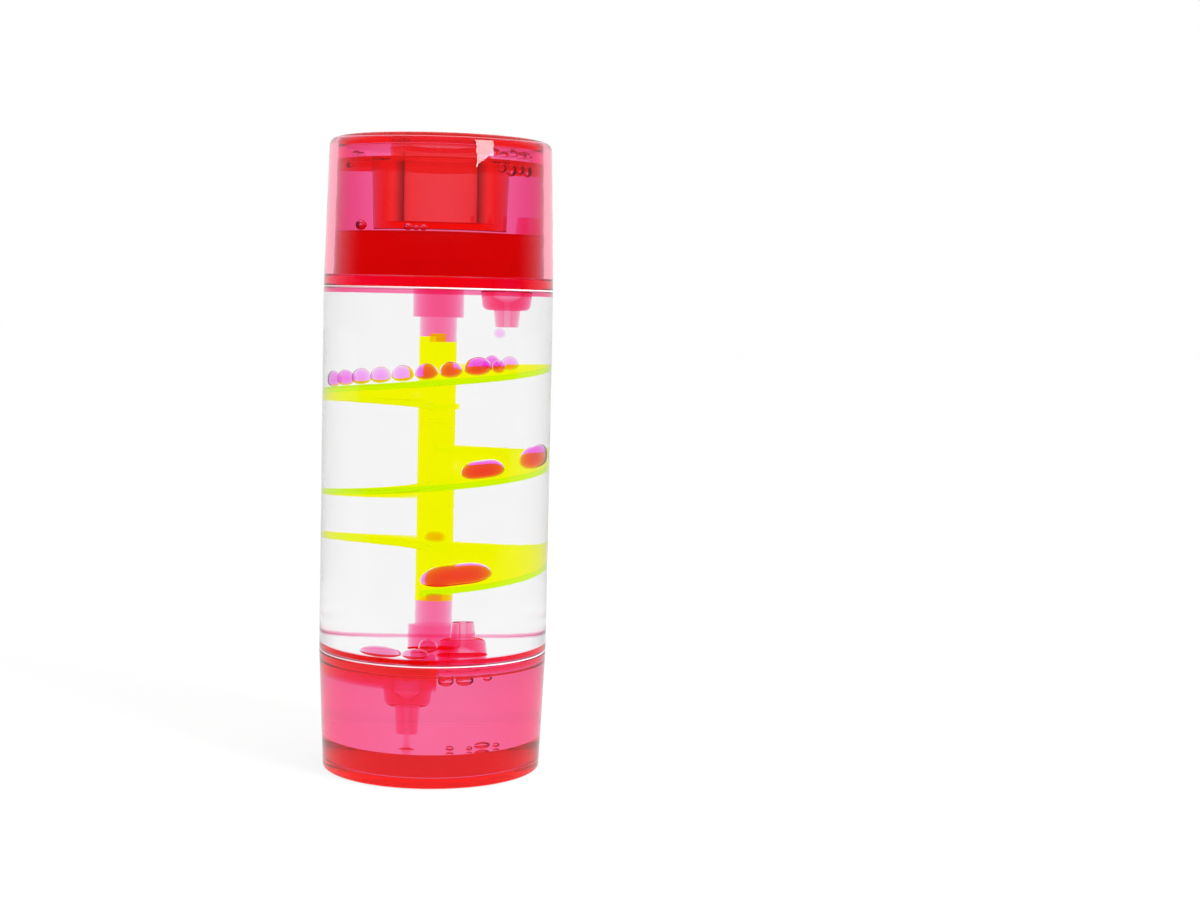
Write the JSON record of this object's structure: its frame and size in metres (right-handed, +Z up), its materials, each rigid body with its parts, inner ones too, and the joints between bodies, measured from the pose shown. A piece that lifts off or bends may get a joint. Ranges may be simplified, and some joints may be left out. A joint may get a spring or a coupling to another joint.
{
  "type": "liquid motion timer",
  "caption": "Sealed clear tube between red end chambers, with a spiral ramp on a central post; coloured drops run down it until the timer is turned over.",
  "frame": {"origin": "centre of the foot, on the surface that the timer stands on", "axes": "+Z up along the tube, -Y towards the viewer of the picture"},
  "size_m": [0.051, 0.051, 0.14],
  "materials": {
    "red_shell": "clear red moulded plastic, polished",
    "pale_shell": "paler clear red moulded plastic, polished",
    "red_inner": "clear red moulded plastic, as moulded",
    "clear_tube": "clear extruded plastic, polished",
    "yellow_spiral": "clear fluorescent yellow moulded plastic",
    "red_oil": "red liquid",
    "red_drop": "red liquid drop"
  },
  "bodies": {
    "housing": {"base_cup": "red_shell", "tube": "clear_tube", "lower_partition": "red_inner", "lower_vent_nozzle": "red_inner", "lower_drain_nozzle": "red_inner", "upper_partition": "red_inner", "upper_drip_nozzle": "red_inner", "upper_vent_nozzle": "red_inner", "upper_cup": "red_inner", "filler_plug": "red_inner", "top_cap": "pale_shell", "spiral_upper": "yellow_spiral", "spiral_middle": "yellow_spiral", "spiral_lower": "yellow_spiral", "upper_oil": "red_oil", "partition_oil": "red_oil", "lower_oil": "red_oil", "drain_stream": "red_oil"},
    "bead_1": {"bead_1": "red_drop"},
    "bead_2": {"bead_2": "red_drop"},
    "bead_3": {"bead_3": "red_drop"},
    "bead_4": {"bead_4": "red_drop"},
    "bead_5": {"bead_5": "red_drop"},
    "bead_6": {"bead_6": "red_drop"},
    "bead_7": {"bead_7": "red_drop"},
    "bead_8": {"bead_8": "red_drop"},
    "bead_9": {"bead_9": "red_drop"},
    "bead_10": {"bead_10": "red_drop"},
    "bead_11": {"bead_11": "red_drop"},
    "middle_drop": {"middle_drop": "red_drop"},
    "side_drop": {"side_drop": "red_drop"},
    "lower_drop": {"lower_drop": "red_drop"},
    "rear_drop": {"rear_drop": "red_drop"},
    "hanging_drop": {"hanging_drop": "red_drop"}
  },
  "joints": [
    {"name": "bead_1_run", "type": "hinge", "parent": "housing", "child": "bead_1", "pos_m": [0, 0, 0.08719], "axis": [-0.028, 0.0944, 0.9951], "range_deg": [-50, 10]},
    {"name": "bead_2_run", "type": "hinge", "parent": "housing", "child": "bead_2", "pos_m": [0, 0, 0.08767], "axis": [-0.0493, 0.0852, 0.9951], "range_deg": [-50, 10]},
    {"name": "bead_3_run", "type": "hinge", "parent": "housing", "child": "bead_3", "pos_m": [0, 0, 0.08815], "axis": [-0.0679, 0.0713, 0.9951], "range_deg": [-50, 10]},
    {"name": "bead_4_run", "type": "hinge", "parent": "housing", "child": "bead_4", "pos_m": [0, 0, 0.08863], "axis": [-0.0827, 0.0534, 0.9951], "range_deg": [-50, 10]},
    {"name": "bead_5_run", "type": "hinge", "parent": "housing", "child": "bead_5", "pos_m": [0, 0, 0.08911], "axis": [-0.0929, 0.0325, 0.9951], "range_deg": [-50, 10]},
    {"name": "bead_6_run", "type": "hinge", "parent": "housing", "child": "bead_6", "pos_m": [0, 0, 0.0896], "axis": [-0.0979, 0.0099, 0.9951], "range_deg": [-50, 10]},
    {"name": "bead_7_run", "type": "hinge", "parent": "housing", "child": "bead_7", "pos_m": [0, 0, 0.09008], "axis": [-0.0975, -0.0134, 0.9951], "range_deg": [-50, 10]},
    {"name": "bead_8_run", "type": "hinge", "parent": "housing", "child": "bead_8", "pos_m": [0, 0, 0.09089], "axis": [-0.0902, -0.0392, 0.9951], "range_deg": [-50, 10]},
    {"name": "bead_9_run", "type": "hinge", "parent": "housing", "child": "bead_9", "pos_m": [0, 0, 0.09086], "axis": [-0.0817, -0.0643, 0.9946], "range_deg": [-50, 10]},
    {"name": "bead_10_run", "type": "hinge", "parent": "housing", "child": "bead_10", "pos_m": [0, 0, 0.0915], "axis": [-0.0983, -0.1258, 0.9872], "range_deg": [-50, 10]},
    {"name": "bead_11_run", "type": "hinge", "parent": "housing", "child": "bead_11", "pos_m": [0, 0, 0.09144], "axis": [-0.0713, -0.0953, 0.9929], "range_deg": [-50, 10]},
    {"name": "middle_drop_run", "type": "hinge", "parent": "housing", "child": "middle_drop", "pos_m": [0, 0, 0.06873], "axis": [-0.0891, -0.0482, 0.9949], "range_deg": [-50, 10]},
    {"name": "side_drop_run", "type": "hinge", "parent": "housing", "child": "side_drop", "pos_m": [0, 0, 0.07081], "axis": [-0.0298, -0.0974, 0.9948], "range_deg": [-50, 10]},
    {"name": "lower_drop_run", "type": "hinge", "parent": "housing", "child": "lower_drop", "pos_m": [0, 0, 0.04615], "axis": [-0.0964, -0.0222, 0.9951], "range_deg": [-2, 30]},
    {"name": "rear_drop_run", "type": "hinge", "parent": "housing", "child": "rear_drop", "pos_m": [0, 0, 0.051], "axis": [0.1125, 0.0008, 0.9937], "range_deg": [-50, 10]},
    {"name": "hanging_drop_fall", "type": "slide", "parent": "housing", "child": "hanging_drop", "axis": [0, 0, -1], "range_m": [0, 0.004]}
  ],
  "couplings": [
    {"joint": "bead_2_run", "follows": "bead_1_run", "ratio": 1},
    {"joint": "bead_3_run", "follows": "bead_1_run", "ratio": 1},
    {"joint": "bead_4_run", "follows": "bead_1_run", "ratio": 1},
    {"joint": "bead_5_run", "follows": "bead_1_run", "ratio": 1},
    {"joint": "bead_6_run", "follows": "bead_1_run", "ratio": 1},
    {"joint": "bead_7_run", "follows": "bead_1_run", "ratio": 1},
    {"joint": "bead_8_run", "follows": "bead_1_run", "ratio": 1},
    {"joint": "bead_9_run", "follows": "bead_1_run", "ratio": 1},
    {"joint": "bead_10_run", "follows": "bead_1_run", "ratio": 1},
    {"joint": "bead_11_run", "follows": "bead_1_run", "ratio": 1},
    {"joint": "side_drop_run", "follows": "middle_drop_run", "ratio": 1}
  ]
}
